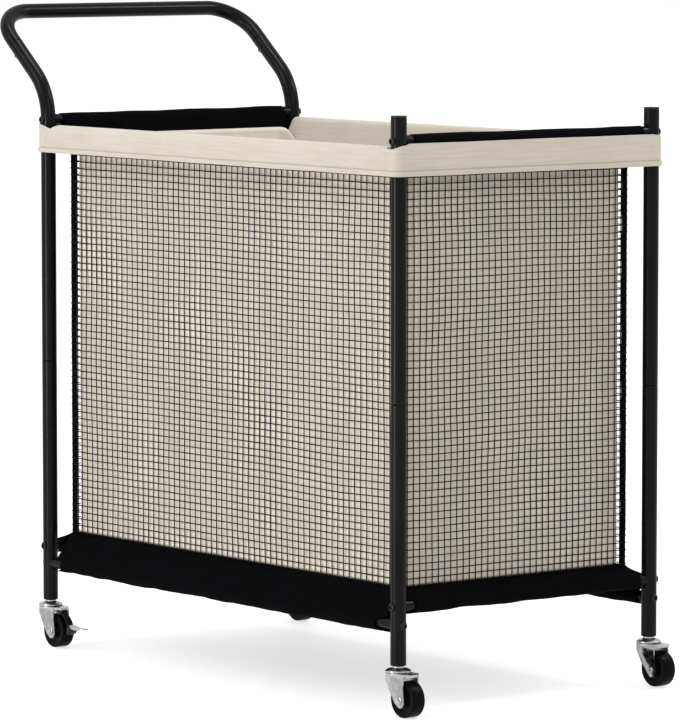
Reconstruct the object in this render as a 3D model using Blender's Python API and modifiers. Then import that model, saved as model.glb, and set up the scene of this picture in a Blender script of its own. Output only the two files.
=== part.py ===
"""A rolling laundry cart: a bolted steel-tube frame on four swivel castors, which carries an open-topped net bag
with a cloth liner. Metres, +Z up. The floor is z = 0, the handle is at the rear (-X), and left is +Y."""

import math

import bmesh
import bpy
from mathutils import Matrix, Vector

# Frame
POST_R = 0.011
POST_WALL = 0.0012
RAIL_R = 0.008
RAIL_WALL = 0.0012
X_REAR = -0.3622
X_FRONT = 0.4678
Y_POST = 0.226
Z_FOOT = 0.069
Z_SPLICE = 0.425
Z_FRONT_TOP = 0.816
CAP_THICK = 0.002
SPIGOT_R = 0.0095
SPIGOT_LONG = 0.040
FOOT_INSERT = 0.030
Z_SIDE_RAILS = (0.124, 0.7605)
Z_END_RAILS = (0.1495, 0.7815)
RAIL_PLUG = 0.025
GAP = 0.0003

# Handle
BEND_START_Z = 0.781
BEND_R = 0.087
BEND_TURN = math.radians(50.7)
BAR_REACH = 0.1407
CORNER_R = 0.060
BAR_STUB = 0.0157
SCREW_FROM_SEAM = 0.012

# Bolts
SHANK_R = 0.003
HEAD_R = 0.00575
HEAD_TALL = 0.0035
LOW_HEAD_R = 0.004
LOW_HEAD_TALL = 0.0012
GRIP = 0.018

# Castors
TRAIL = 0.021
WHEEL_R = 0.025
WHEEL_HALF = 0.0105
STEM_R = 0.005
RACE_R = 0.018
Z_FORK_TOP = 0.060
PLATE = 0.0022
FORK_HALF = 0.0142
FORK_INNER = 0.0122
AXLE_R = 0.003
BRAKE_PIVOT = (0.031, 0.054)
BRAKE_ARC_R = 0.0295

# Bag
SLEEVE_R = 0.0102
SLEEVE_CLOTH = 0.0018
NET_INSET = 0.0225
LINER_INSET = 0.026
LINER_CLOTH = 0.0016
LINER_CORNER_R = 0.015
SLEEVE_END = 0.0225
ROLL_R = 0.0132
ROLL_CLOTH = 0.0026
ROLL_END = 0.013
Z_NET = (0.169, 0.735)
Z_BASE = (0.164, 0.167)
Z_LINER_FLOOR = (0.1675, 0.1695)
Z_LINER_HEM = 0.760
Z_CUFF = (0.734, 0.778)
CUFF_OUT_X = 0.0144
CUFF_OUT_Y = 0.0132
CUFF_CORNER_R = 0.0105

# Mesh fineness
POST_SIDES = 16
RAIL_SIDES = 12
BOLT_SIDES = 8
WHEEL_SIDES = 24
MERGE = 0.00001

POSTS = {
    "front_left": (X_FRONT, Y_POST),
    "front_right": (X_FRONT, -Y_POST),
    "rear_left": (X_REAR, Y_POST),
    "rear_right": (X_REAR, -Y_POST),
}
X_MID = (X_REAR + X_FRONT) / 2
X_SPAN = X_FRONT - X_REAR


def clear_scene():
    for obj in list(bpy.data.objects):
        bpy.data.objects.remove(obj, do_unlink=True)


def collection(name):
    found = bpy.data.collections.new(name)
    bpy.context.scene.collection.children.link(found)
    return found


def material(name, colour, roughness, metallic=0.0):
    made = bpy.data.materials.new(name)
    made.use_nodes = True
    shader = made.node_tree.nodes["Principled BSDF"]
    shader.inputs["Base Color"].default_value = (*colour, 1.0)
    shader.inputs["Roughness"].default_value = roughness
    shader.inputs["Metallic"].default_value = metallic
    return made


def new_object(name, mesh, paint=None):
    obj = bpy.data.objects.new(name, mesh)
    CART.objects.link(obj)
    if paint:
        mesh.materials.append(paint)
    return obj


def settled(obj, smooth=True):
    """The object with its modifiers applied and its curved faces shaded smooth."""
    bpy.context.view_layer.update()
    graph = bpy.context.evaluated_depsgraph_get()
    mesh = bpy.data.meshes.new_from_object(obj.evaluated_get(graph))
    mesh.name = obj.name
    obj.modifiers.clear()
    obj.data = mesh
    if smooth:
        mesh.shade_smooth()
        mesh.set_sharp_from_angle(angle=math.radians(40))
    return obj


def lathe(name, profile, sides, paint=None, hollow=False):
    """A turned piece about local Z. The profile's (radius, height) points run down its outer side."""
    mesh = bpy.data.meshes.new(name)
    edges = [(i, i + 1) for i in range(len(profile) - 1)]
    if hollow:
        edges.append((len(profile) - 1, 0))
    mesh.from_pydata([(radius, 0, height) for radius, height in profile], edges, [])
    obj = new_object(name, mesh, paint)
    turn = obj.modifiers.new("Turn", "SCREW")
    turn.steps = sides
    turn.render_steps = sides
    turn.use_merge_vertices = True
    turn.merge_threshold = MERGE
    return settled(obj)


def mesh_of_curve(curve_obj, name, paint=None):
    """A mesh object in place of a curve, with its caps welded on."""
    bpy.context.view_layer.update()
    graph = bpy.context.evaluated_depsgraph_get()
    mesh = bpy.data.meshes.new_from_object(curve_obj.evaluated_get(graph))
    shape = bmesh.new()
    shape.from_mesh(mesh)
    bmesh.ops.remove_doubles(shape, verts=shape.verts, dist=MERGE)
    bmesh.ops.recalc_face_normals(shape, faces=shape.faces)
    shape.to_mesh(mesh)
    shape.free()
    obj = new_object(name, mesh, paint)
    obj.matrix_world = curve_obj.matrix_world
    bpy.data.objects.remove(curve_obj)
    return obj


def prism(name, outlines, low, high, paint=None):
    """Closed flat outlines in local XY, filled, from local Z low to high. A second outline is a hole."""
    curve = bpy.data.curves.new(name + "_outline", "CURVE")
    curve.dimensions = "2D"
    curve.fill_mode = "BOTH"
    curve.extrude = (high - low) / 2
    for outline in outlines:
        spline = curve.splines.new("POLY")
        spline.points.add(len(outline) - 1)
        for point, (x, y) in zip(spline.points, outline):
            point.co = (x, y, 0, 1)
        spline.use_cyclic_u = True
    obj = bpy.data.objects.new(name + "_outline", curve)
    CART.objects.link(obj)
    made = mesh_of_curve(obj, name, paint)
    made.data.transform(Matrix.Translation((0, 0, (high + low) / 2)))
    return made


def tube(name, path, radii, wall, paint, resolution):
    """An open-ended tube along a path of points, with an outer radius for each."""
    curve = bpy.data.curves.new(name + "_path", "CURVE")
    curve.dimensions = "3D"
    curve.bevel_depth = 1.0
    curve.bevel_resolution = resolution
    spline = curve.splines.new("POLY")
    spline.points.add(len(path) - 1)
    for point, place, radius in zip(spline.points, path, radii):
        point.co = (*place, 1)
        point.radius = radius
    obj = bpy.data.objects.new(name + "_path", curve)
    CART.objects.link(obj)
    made = mesh_of_curve(obj, name, paint)
    shell = made.modifiers.new("Wall", "SOLIDIFY")
    shell.thickness = wall
    shell.offset = -1
    return settled(made)


def box(name, low, high, paint=None):
    mesh = bpy.data.meshes.new(name)
    shape = bmesh.new()
    size = Vector(high) - Vector(low)
    place = Matrix.Translation((Vector(high) + Vector(low)) / 2) @ Matrix.Diagonal((*size, 1))
    bmesh.ops.create_cube(shape, size=1, matrix=place)
    shape.to_mesh(mesh)
    shape.free()
    return new_object(name, mesh, paint)


def rod(name, start, end, radius, sides):
    """A plain round rod between two points."""
    along = Vector(end) - Vector(start)
    mesh = bpy.data.meshes.new(name)
    shape = bmesh.new()
    place = Matrix.Translation((Vector(end) + Vector(start)) / 2) @ along.to_track_quat("Z", "Y").to_matrix().to_4x4()
    bmesh.ops.create_cone(
        shape, cap_ends=True, segments=sides, radius1=radius, radius2=radius, depth=along.length, matrix=place
    )
    shape.to_mesh(mesh)
    shape.free()
    return new_object(name, mesh)


def combine(obj, others, operation):
    """Cuts the others from the object, or joins them to it, and removes them."""
    for other in others:
        boolean = obj.modifiers.new(operation.title(), "BOOLEAN")
        boolean.operation = operation
        boolean.object = other
    settled(obj)
    for other in others:
        bpy.data.objects.remove(other)
    shape = bmesh.new()
    shape.from_mesh(obj.data)
    bmesh.ops.remove_doubles(shape, verts=shape.verts, dist=MERGE)
    bmesh.ops.dissolve_limit(shape, angle_limit=math.radians(0.5), verts=shape.verts, edges=shape.edges)
    bmesh.ops.triangulate(shape, faces=shape.faces)
    shape.to_mesh(obj.data)
    shape.free()
    return obj


def arc(centre, radius, start, end, steps):
    """Points along an arc in a plane, angles in degrees, both ends included."""
    angles = [math.radians(start + (end - start) * i / steps) for i in range(steps + 1)]
    return [(centre[0] + radius * math.cos(a), centre[1] + radius * math.sin(a)) for a in angles]


def rounded_box(x_low, x_high, y_half, radius, steps=3):
    corners = (
        ((x_high - radius, y_half - radius), 0),
        ((x_low + radius, y_half - radius), 90),
        ((x_low + radius, -y_half + radius), 180),
        ((x_high - radius, -y_half + radius), 270),
    )
    return [point for centre, turn in corners for point in arc(centre, radius, turn, turn + 90, steps)]


# Frame


def bolt_holes(x, y, levels):
    """Cutters for the bolts through a post: side-rail bolts run along X, end-rail bolts along Y."""
    reach = 2 * POST_R
    radius = SHANK_R + GAP
    return [
        rod("hole", (x - reach, y, Z_SIDE_RAILS[level]), (x + reach, y, Z_SIDE_RAILS[level]), radius, BOLT_SIDES)
        for level in levels
    ] + [
        rod("hole", (x, y - reach, Z_END_RAILS[level]), (x, y + reach, Z_END_RAILS[level]), radius, BOLT_SIDES)
        for level in levels
    ]


def lower_post(corner):
    """The lower half of a post: a thick foot takes the castor's stem, and the open top takes the upper half."""
    x, y = POSTS[corner]
    inner = POST_R - POST_WALL
    bore = STEM_R + GAP
    profile = [
        (POST_R, Z_SPLICE),
        (POST_R, Z_FOOT),
        (bore, Z_FOOT),
        (bore, Z_FOOT + FOOT_INSERT),
        (inner, Z_FOOT + FOOT_INSERT),
        (inner, Z_SPLICE),
    ]
    post = lathe("lower_post_" + corner, profile, POST_SIDES, PAINT, hollow=True)
    post.location = (x, y, 0)
    return combine(post, bolt_holes(x, y, (0,)), "DIFFERENCE")


def upper_post(corner):
    """The upper half of a front post, with a reduced end that slides into the lower half."""
    x, y = POSTS[corner]
    shoulder = Z_SPLICE + GAP
    tip = Z_SPLICE - SPIGOT_LONG
    top = Z_FRONT_TOP - CAP_THICK - GAP
    profile = [
        (POST_R, top),
        (POST_R, shoulder),
        (SPIGOT_R, shoulder),
        (SPIGOT_R, tip),
        (SPIGOT_R - POST_WALL, tip),
        (SPIGOT_R - POST_WALL, shoulder + POST_WALL),
        (POST_R - POST_WALL, shoulder + 2 * POST_WALL),
        (POST_R - POST_WALL, top),
    ]
    post = lathe("upper_post_" + corner, profile, POST_SIDES, PAINT, hollow=True)
    post.location = (x, y, 0)
    return combine(post, bolt_holes(x, y, (1,)), "DIFFERENCE")


def post_cap(corner):
    x, y = POSTS[corner]
    under = Z_FRONT_TOP - CAP_THICK
    plug_r = POST_R - POST_WALL - GAP
    plug_end = under - 0.011
    edge = 0.0005
    profile = [
        (0, Z_FRONT_TOP),
        (POST_R - edge, Z_FRONT_TOP),
        (POST_R, Z_FRONT_TOP - edge),
        (POST_R, under),
        (plug_r, under),
        (plug_r, plug_end),
        (0, plug_end),
    ]
    cap = lathe("post_cap_" + corner, profile, POST_SIDES, PLASTIC)
    cap.location = (x, y, 0)
    return cap


def leg_point(along):
    """(x offset, height) at a distance along the straight of the handle leg, past its bend."""
    bend_end = (-BEND_R * (1 - math.cos(BEND_TURN)), BEND_START_Z + BEND_R * math.sin(BEND_TURN))
    return (
        bend_end[0] - along * math.sin(BEND_TURN),
        bend_end[1] + along * math.cos(BEND_TURN),
    )


LEG_STRAIGHT = BAR_REACH - CORNER_R - BAR_STUB


def screw_hole(y):
    """A cutter through the underside of the handle tube, below the seam."""
    x, z = leg_point(LEG_STRAIGHT - SCREW_FROM_SEAM)
    reach = 0.02
    down = (-math.cos(BEND_TURN), -math.sin(BEND_TURN))
    return rod(
        "hole", (X_REAR + x, y, z), (X_REAR + x + reach * down[0], y, z + reach * down[1]), 0.002 + GAP, BOLT_SIDES
    )


def handle_leg(side, y):
    """The upper half of a rear post, which leans back above the rail to carry the handle bar."""
    bend_steps = 7
    path = [
        (0, Z_SPLICE - SPIGOT_LONG),
        (0, Z_SPLICE + GAP),
        (0, Z_SPLICE + 0.001),
        (0, BEND_START_Z),
    ]
    for i in range(1, bend_steps + 1):
        angle = BEND_TURN * i / bend_steps
        path.append((-BEND_R * (1 - math.cos(angle)), BEND_START_Z + BEND_R * math.sin(angle)))
    path.append(leg_point(LEG_STRAIGHT - GAP))
    radii = [SPIGOT_R, SPIGOT_R] + [POST_R] * (len(path) - 2)
    points = [(X_REAR + x, y, z) for x, z in path]
    leg = tube("handle_leg_" + side, points, radii, POST_WALL, PAINT, 4)
    return combine(leg, [*bolt_holes(X_REAR, y, (1,)), screw_hole(y)], "DIFFERENCE")


def handle_bar():
    """The U-shaped push bar. Its reduced ends slide into the two legs."""
    corner_steps = 7
    bend_start = BAR_REACH - CORNER_R
    half = [(Y_POST, LEG_STRAIGHT - SPIGOT_LONG), (Y_POST, LEG_STRAIGHT), (Y_POST, LEG_STRAIGHT + 0.001)]
    half.append((Y_POST, bend_start))
    half += [
        (
            Y_POST - CORNER_R * (1 - math.cos(math.pi / 2 * i / corner_steps)),
            bend_start + CORNER_R * math.sin(math.pi / 2 * i / corner_steps),
        )
        for i in range(1, corner_steps + 1)
    ]
    route = half + [(-y, along) for y, along in reversed(half)]
    points = [(X_REAR + leg_point(along)[0], y, leg_point(along)[1]) for y, along in route]
    radii = [SPIGOT_R, SPIGOT_R] + [POST_R] * (len(route) - 4) + [SPIGOT_R, SPIGOT_R]
    bar = tube("handle_bar", points, radii, POST_WALL, PAINT, 4)
    return combine(bar, [screw_hole(Y_POST), screw_hole(-Y_POST)], "DIFFERENCE")


def rail(name, start, end):
    """A rail between two post axes. Its plugged ends are shaped to the posts and bored for the bolts."""
    along = Vector(end) - Vector(start)
    half = along.length / 2
    bore = SHANK_R + GAP
    inner = RAIL_R - RAIL_WALL
    plug = half - RAIL_PLUG - POST_R
    profile = [
        (RAIL_R, half),
        (RAIL_R, -half),
        (bore, -half),
        (bore, -plug),
        (inner, -plug),
        (inner, plug),
        (bore, plug),
        (bore, half),
    ]
    made = lathe(name, profile, RAIL_SIDES, PAINT, hollow=True)
    made.location = (Vector(start) + Vector(end)) / 2
    made.rotation_euler = along.to_track_quat("Z", "Y").to_euler()
    reach = Vector((0, 0, 2 * RAIL_R))
    seats = [rod("seat", Vector(at) - reach, Vector(at) + reach, POST_R + GAP, 20) for at in (start, end)]
    return combine(made, seats, "DIFFERENCE")


def rails():
    for level, z in zip(("bottom", "top"), Z_SIDE_RAILS):
        for side, y in (("left", Y_POST), ("right", -Y_POST)):
            rail(f"{level}_rail_{side}", (X_REAR, y, z), (X_FRONT, y, z))
    for level, z in zip(("bottom", "top"), Z_END_RAILS):
        for end, x in (("front", X_FRONT), ("rear", X_REAR)):
            rail(f"{level}_rail_{end}", (x, -Y_POST, z), (x, Y_POST, z))


def bolt(name, at, towards, head_r, head_tall, shank_r, length):
    """A socket-head bolt whose head sits at a point and whose shank runs towards a direction."""
    socket_r = head_r * 0.4
    profile = [
        (0, head_tall * 0.45),
        (socket_r, head_tall * 0.45),
        (socket_r, head_tall),
        (head_r * 0.65, head_tall),
        (head_r, head_tall * 0.35),
        (head_r, 0),
        (shank_r, 0),
        (shank_r, -length),
        (0, -length),
    ]
    made = lathe(name, profile, BOLT_SIDES, BOLT_BLACK)
    made.location = at
    made.rotation_euler = (-Vector(towards)).to_track_quat("Z", "Y").to_euler()
    return made


def rail_bolts():
    """One bolt through each post into each rail end. The four that lie under the cuff have low heads."""
    seat = POST_R + GAP
    length = 2 * seat + GRIP
    for corner, (x, y) in POSTS.items():
        out_x = 1 if x > X_MID else -1
        out_y = 1 if y > 0 else -1
        for level, z_side, z_end in zip(("bottom", "top"), Z_SIDE_RAILS, Z_END_RAILS):
            low = level == "top"
            head = (LOW_HEAD_R, LOW_HEAD_TALL) if low else (HEAD_R, HEAD_TALL)
            at = (x + out_x * seat, y, z_side)
            bolt(f"side_bolt_{level}_{corner}", at, (-out_x, 0, 0), *head, SHANK_R, length)
            at = (x, y + out_y * seat, z_end)
            bolt(f"end_bolt_{level}_{corner}", at, (0, -out_y, 0), HEAD_R, HEAD_TALL, SHANK_R, length)


def handle_screw(side, y):
    x, z = leg_point(LEG_STRAIGHT - SCREW_FROM_SEAM)
    down = Vector((-math.cos(BEND_TURN), 0, -math.sin(BEND_TURN)))
    at = Vector((X_REAR + x, y, z)) + down * (POST_R + GAP)
    bolt("handle_screw_" + side, at, -down, 0.0042, 0.0024, 0.002, 0.006)


# Castors


def castor_stem(corner):
    """The threaded stem with its collar, domed upper race and the rivet head that holds the fork."""
    x, y = POSTS[corner]
    rim_z = Z_FORK_TOP + GAP
    rivet_z = Z_FORK_TOP - PLATE - GAP
    profile = [
        (0, Z_FOOT + FOOT_INSERT - 0.002),
        (STEM_R, Z_FOOT + FOOT_INSERT - 0.002),
        (STEM_R, Z_FOOT - GAP),
        (0.0084, Z_FOOT - GAP),
        (0.0084, 0.0662),
        (0.0125, 0.0653),
        (RACE_R, 0.0622),
        (RACE_R, rim_z),
        (STEM_R, rim_z),
        (STEM_R, rivet_z),
        (0.008, rivet_z),
        (0.007, rivet_z - 0.0025),
        (0, rivet_z - 0.0025),
    ]
    stem = lathe("castor_stem_" + corner, profile, POST_SIDES, ZINC)
    stem.location = (x, y, 0)
    return stem


def castor_fork(corner, braked):
    """A stamped fork: a round top plate, two cheeks down to the axle, and a tongue with a turned-down lip."""
    x, y = POSTS[corner]
    under = Z_FORK_TOP - PLATE
    cheek = [(-0.0125, Z_FORK_TOP), (-0.0115, 0.054)]
    cheek += arc((TRAIL, WHEEL_R), 0.0085, 213, 375, 7)
    cheek += [(0.0275, 0.042), (0.0275, Z_FORK_TOP)]
    fork = prism("castor_fork_" + corner, [cheek], -FORK_HALF, FORK_HALF, ZINC)
    fork.rotation_euler = (math.pi / 2, 0, 0)
    channel = box("channel", (-0.03, -FORK_INNER, 0), (0.06, FORK_INNER, under))
    plate = lathe("plate", [(0, Z_FORK_TOP), (0.0175, Z_FORK_TOP), (0.0175, under), (0, under)], POST_SIDES)
    tongue = box("tongue", (0.02, -0.008, under), (0.0368, 0.008, Z_FORK_TOP))
    lip = box("lip", (0.0348, -0.008, 0.0540), (0.0368, 0.008, Z_FORK_TOP))
    combine(fork, [channel], "DIFFERENCE")
    joined = [plate, tongue, lip]
    if braked:
        joined += [box("lug", (0.0275, y1, 0.0504), (0.0345, y1 + 0.002, under + 0.001)) for y1 in (-0.0072, 0.0052)]
    combine(fork, joined, "UNION")
    holes = [
        rod("bore", (0, 0, 0.05), (0, 0, 0.07), STEM_R + GAP, 12),
        rod("bore", (TRAIL, -0.02, WHEEL_R), (TRAIL, 0.02, WHEEL_R), AXLE_R + GAP, 12),
    ]
    if braked:
        px, pz = BRAKE_PIVOT
        holes.append(rod("bore", (px, -0.01, pz), (px, 0.01, pz), 0.002 + GAP, BOLT_SIDES))
    combine(fork, holes, "DIFFERENCE")
    fork.location = (x, y, 0)
    return fork


def castor_axle(corner):
    x, y = POSTS[corner]
    seat = FORK_HALF + GAP
    profile = [(0, seat + 0.0014), (0.0045, seat + 0.0014), (0.005, seat), (AXLE_R, seat)]
    profile += [(radius, -height) for radius, height in reversed(profile)]
    axle = lathe("castor_axle_" + corner, profile, 12, ZINC)
    axle.rotation_euler = (math.pi / 2, 0, 0)
    axle.location = (x + TRAIL, y, WHEEL_R)
    return axle


def castor_wheel(corner):
    """A moulded wheel with shallow dished sides. One of its flats faces the floor."""
    x, y = POSTS[corner]
    tread_r = WHEEL_R / math.cos(math.pi / WHEEL_SIDES)
    half = WHEEL_HALF
    bore = AXLE_R + GAP
    side = [(tread_r, half - 0.0027), (tread_r - 0.0027, half), (0.0185, half), (0.0175, half - 0.0015)]
    outline = [(radius, -height) for radius, height in side] + [(bore, -half + 0.0015), (bore, half - 0.0015)]
    outline += list(reversed(side))
    wheel = lathe("castor_wheel_" + corner, outline, WHEEL_SIDES, RUBBER, hollow=True)
    wheel.data.transform(Matrix.Rotation(math.pi / WHEEL_SIDES, 4, "Z"))
    wheel.rotation_euler = (math.pi / 2, 0, 0)
    wheel.location = (x + TRAIL, y, WHEEL_R)
    return wheel


def brake_lever(corner):
    """A foot lever pivoted under the fork's tongue. It curves round the wheel and ends in a pedal."""
    x, y = POSTS[corner]
    px, pz = BRAKE_PIVOT
    half_thick = 0.0011
    axle = (TRAIL, WHEEL_R)
    outer = [(px + 0.0008, pz + 0.0026), *arc(axle, BRAKE_ARC_R + half_thick, 62, 22, 5), (0.056, 0.0345)]
    outer += [(0.082, 0.0352), (0.090, 0.0372)]
    inner = [(0.0905, 0.0352), (0.082, 0.0331), (0.056, 0.0323)]
    inner += [*arc(axle, BRAKE_ARC_R - half_thick, 18, 60, 5), (px - 0.0025, pz - 0.002), (px - 0.002, pz + 0.0024)]
    lever = prism("brake_lever_" + corner, [outer + inner], -0.0047, 0.0047, PLASTIC)
    lever.rotation_euler = (math.pi / 2, 0, 0)
    pin = rod("pin", (px, -0.0074, pz), (px, 0.0074, pz), 0.002, BOLT_SIDES)
    pedal = box("pedal", (0.058, -0.009, 0.0321), (0.082, 0.009, 0.0362))
    combine(lever, [pin, pedal], "UNION")
    lever.data.transform(Matrix.Translation((-px, -pz, 0)))
    lever.location = (x + px, y, pz)
    return lever


# Bag and liner


def side_frame(side):
    """Local X points into the cart from the rail's plane, local Y is up, and local Z runs along the rail."""
    middle, inward = {
        "left": ((X_MID, Y_POST, 0), Vector((0, -1, 0))),
        "right": ((X_MID, -Y_POST, 0), Vector((0, 1, 0))),
        "front": ((X_FRONT, 0, 0), Vector((-1, 0, 0))),
        "rear": ((X_REAR, 0, 0), Vector((1, 0, 0))),
    }[side]
    up = Vector((0, 0, 1))
    frame = Matrix((inward, up, inward.cross(up))).transposed().to_4x4()
    return Matrix.Translation(middle) @ frame


def along_side(name, side, outlines, end_gap, paint=None):
    """A prism along one side of the cart, which stops short of the post axes at both ends."""
    span = X_SPAN if side in ("left", "right") else 2 * Y_POST
    half = span / 2 - end_gap
    made = prism(name, outlines, -half, half, paint)
    made.data.transform(side_frame(side))
    return made


def sleeve_outline(height, end, turn):
    """A ring of cloth round a rail, with a strip that leaves it as a tangent and ends at a point. turn is 1
    or -1 for the side of the ring that the strip leaves from."""
    away = Vector(end) - Vector((0, height))
    normal_angle = math.atan2(away.y, away.x) + turn * math.acos(SLEEVE_R / away.length)
    normal = Vector((math.cos(normal_angle), math.sin(normal_angle)))
    notch = math.acos((SLEEVE_R - SLEEVE_CLOTH) / SLEEVE_R)
    start = normal_angle - turn * notch
    sweep = 2 * math.pi - notch
    steps = 14
    ring = arc((0, height), SLEEVE_R, math.degrees(start), math.degrees(start - turn * sweep), steps)
    tip = Vector(end)
    back = tip - normal * SLEEVE_CLOTH
    hole = arc((0, height), SLEEVE_R - SLEEVE_CLOTH, 0, 330, 11)
    return [[tuple(tip), tuple(back), *ring], hole]


def rail_height(side, level):
    return (Z_SIDE_RAILS if side in ("left", "right") else Z_END_RAILS)[level]


def net_bag():
    """The outer bag: net walls with sleeves along their top that hang on the four top rails."""
    inner = NET_INSET + SLEEVE_CLOTH
    outside = rounded_box(X_REAR + NET_INSET, X_FRONT - NET_INSET, Y_POST - NET_INSET, 0.001, 1)
    inside = rounded_box(X_REAR + inner, X_FRONT - inner, Y_POST - inner, 0.001, 1)
    bag = prism("net_bag", [outside, inside], *Z_NET, NET)
    bands = [
        along_side("band", side, sleeve_outline(rail_height(side, 1), (inner, Z_NET[1] - 0.004), 1), SLEEVE_END)
        for side in ("left", "right", "front", "rear")
    ]
    return combine(bag, bands, "UNION")


def bag_base():
    """The bag's black base: a floor panel and four flaps that slope out to sleeves on the bottom rails."""
    inset = NET_INSET + 0.002
    floor = rounded_box(X_REAR + inset, X_FRONT - inset, Y_POST - inset, 0.001, 1)
    base = prism("bag_base", [floor], *Z_BASE, BLACK_CLOTH)
    edge = (NET_INSET + 0.0012, Z_NET[0] - 0.0005)
    flaps = [
        along_side("flap", side, sleeve_outline(rail_height(side, 0), edge, 1), SLEEVE_END + 0.0015)
        for side in ("left", "right", "front", "rear")
    ]
    return combine(base, flaps, "UNION")


def roll_outline():
    """The liner's section over a side rail: up from the wall, over the rail, and down outside as the cuff."""
    z = Z_SIDE_RAILS[1]
    foot_z = 0.732
    inner_r = ROLL_R - ROLL_CLOTH
    points = [(-ROLL_R, Z_CUFF[0])]
    lean = []
    for radius, foot in ((ROLL_R, LINER_INSET + LINER_CLOTH), (inner_r, LINER_INSET)):
        away = Vector((foot, foot_z)) - Vector((0, z))
        lean.append(math.degrees(math.atan2(away.y, away.x) + math.acos(radius / away.length)))
    steps = 8
    points += arc((0, z), ROLL_R, 180, lean[0], steps)
    points += [(LINER_INSET + LINER_CLOTH, foot_z), (LINER_INSET, foot_z)]
    points += arc((0, z), inner_r, lean[1], 180, steps)
    points.append((-inner_r, Z_CUFF[0]))
    return [points]


def liner():
    """The cloth liner: a bag with a floor, rolled over both side rails, and a cuff all round the posts."""
    x_low, x_high, y_half = X_REAR + LINER_INSET, X_FRONT - LINER_INSET, Y_POST - LINER_INSET
    outer = rounded_box(x_low, x_high, y_half, LINER_CORNER_R)
    bag = prism("liner", [outer], Z_LINER_FLOOR[0], Z_LINER_HEM, LINER_CLOTH_PAINT)
    cloth = LINER_CLOTH
    room = rounded_box(x_low + cloth, x_high - cloth, y_half - cloth, LINER_CORNER_R - cloth)
    wall_top = Z_NET[1]
    openings = [prism("room", [room], Z_LINER_FLOOR[1], Z_LINER_HEM + 0.01)]
    corner = LINER_CORNER_R
    openings.append(
        box("wall_top", (x_low + corner, -y_half - 0.01, wall_top), (x_high - corner, y_half + 0.01, 0.8))
    )
    combine(bag, openings, "DIFFERENCE")
    outer = rounded_box(X_REAR - CUFF_OUT_X, X_FRONT + CUFF_OUT_X, Y_POST + CUFF_OUT_Y, CUFF_CORNER_R)
    x_in, y_in = CUFF_OUT_X - cloth, CUFF_OUT_Y - cloth
    inner = rounded_box(X_REAR - x_in, X_FRONT + x_in, Y_POST + y_in, CUFF_CORNER_R - cloth)
    cuff = prism("cuff", [outer, inner], *Z_CUFF)
    z_roll = Z_SIDE_RAILS[1]
    lower_top = z_roll + ROLL_R
    outer_y = Y_POST + 0.02
    trims = []
    for sign in (-1, 1):
        ends = sorted((sign * (Y_POST - 0.006), sign * outer_y))
        trims.append(
            box("trim", (X_REAR - 0.006, ends[0], lower_top), (X_FRONT + 0.006, ends[1], 0.8))
        )
        trims.append(
            box("trim", (X_REAR + ROLL_END, ends[0], z_roll), (X_FRONT - ROLL_END, ends[1], 0.8))
        )
    combine(cuff, trims, "DIFFERENCE")
    rolls = []
    for side in ("left", "right"):
        roll = along_side("roll", side, roll_outline(), ROLL_END)
        ends = []
        for low, high in ((X_REAR, x_low), (x_high, X_FRONT)):
            sign = -1 if side == "right" else 1
            span = sorted((sign * (Y_POST - ROLL_R - 0.0004), sign * (Y_POST - 0.04)))
            ends.append(box("end", (low, span[0], 0.7), (high, span[1], 0.8)))
        rolls.append(combine(roll, ends, "DIFFERENCE"))
    return combine(bag, [*rolls, cuff], "UNION")


# Assembly

clear_scene()
CART = collection("laundry_cart")
PAINT = material("black_powder_coat", (0.018, 0.018, 0.020), 0.38, 0.3)
PLASTIC = material("black_plastic", (0.012, 0.012, 0.013), 0.5)
BOLT_BLACK = material("blackened_steel", (0.02, 0.02, 0.022), 0.35, 0.8)
ZINC = material("zinc_plate", (0.62, 0.63, 0.65), 0.25, 1.0)
RUBBER = material("black_tread", (0.012, 0.012, 0.012), 0.45)
NET = material("black_net", (0.012, 0.012, 0.014), 0.8)
BLACK_CLOTH = material("black_cloth", (0.008, 0.008, 0.010), 0.9)
LINER_CLOTH_PAINT = material("beige_cloth", (0.68, 0.62, 0.52), 0.9)

for place in POSTS:
    lower_post(place)
for place in ("front_left", "front_right"):
    upper_post(place)
    post_cap(place)
for hand, level_y in (("left", Y_POST), ("right", -Y_POST)):
    handle_leg(hand, level_y)
    handle_screw(hand, level_y)
handle_bar()
rails()
rail_bolts()
for place in POSTS:
    has_brake = place.startswith("rear")
    castor_stem(place)
    castor_fork(place, has_brake)
    castor_axle(place)
    castor_wheel(place)
    if has_brake:
        brake_lever(place)
net_bag()
bag_base()
liner()
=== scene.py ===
import math

import bmesh
import bpy
import numpy as np
from mathutils import Matrix, Vector, noise


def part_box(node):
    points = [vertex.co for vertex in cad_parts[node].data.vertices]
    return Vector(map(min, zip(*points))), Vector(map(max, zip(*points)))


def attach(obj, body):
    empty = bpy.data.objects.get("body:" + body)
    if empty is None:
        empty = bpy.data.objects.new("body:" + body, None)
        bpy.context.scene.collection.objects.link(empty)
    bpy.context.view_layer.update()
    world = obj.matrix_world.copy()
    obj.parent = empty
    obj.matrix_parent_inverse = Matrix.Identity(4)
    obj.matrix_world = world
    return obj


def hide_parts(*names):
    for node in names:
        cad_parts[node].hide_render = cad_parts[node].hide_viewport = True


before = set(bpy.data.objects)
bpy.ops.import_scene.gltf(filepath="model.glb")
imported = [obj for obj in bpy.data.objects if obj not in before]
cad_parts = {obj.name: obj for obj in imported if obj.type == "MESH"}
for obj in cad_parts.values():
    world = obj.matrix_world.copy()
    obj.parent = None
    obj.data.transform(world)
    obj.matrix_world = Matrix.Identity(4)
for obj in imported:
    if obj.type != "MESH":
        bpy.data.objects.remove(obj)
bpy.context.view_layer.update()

# ---------------------------------------------------------------- sizes, in metres

CORNERS = ("front_left", "front_right", "rear_left", "rear_right")


def middle(node):
    low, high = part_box(node)
    return (Vector(low) + Vector(high)) / 2


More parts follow.
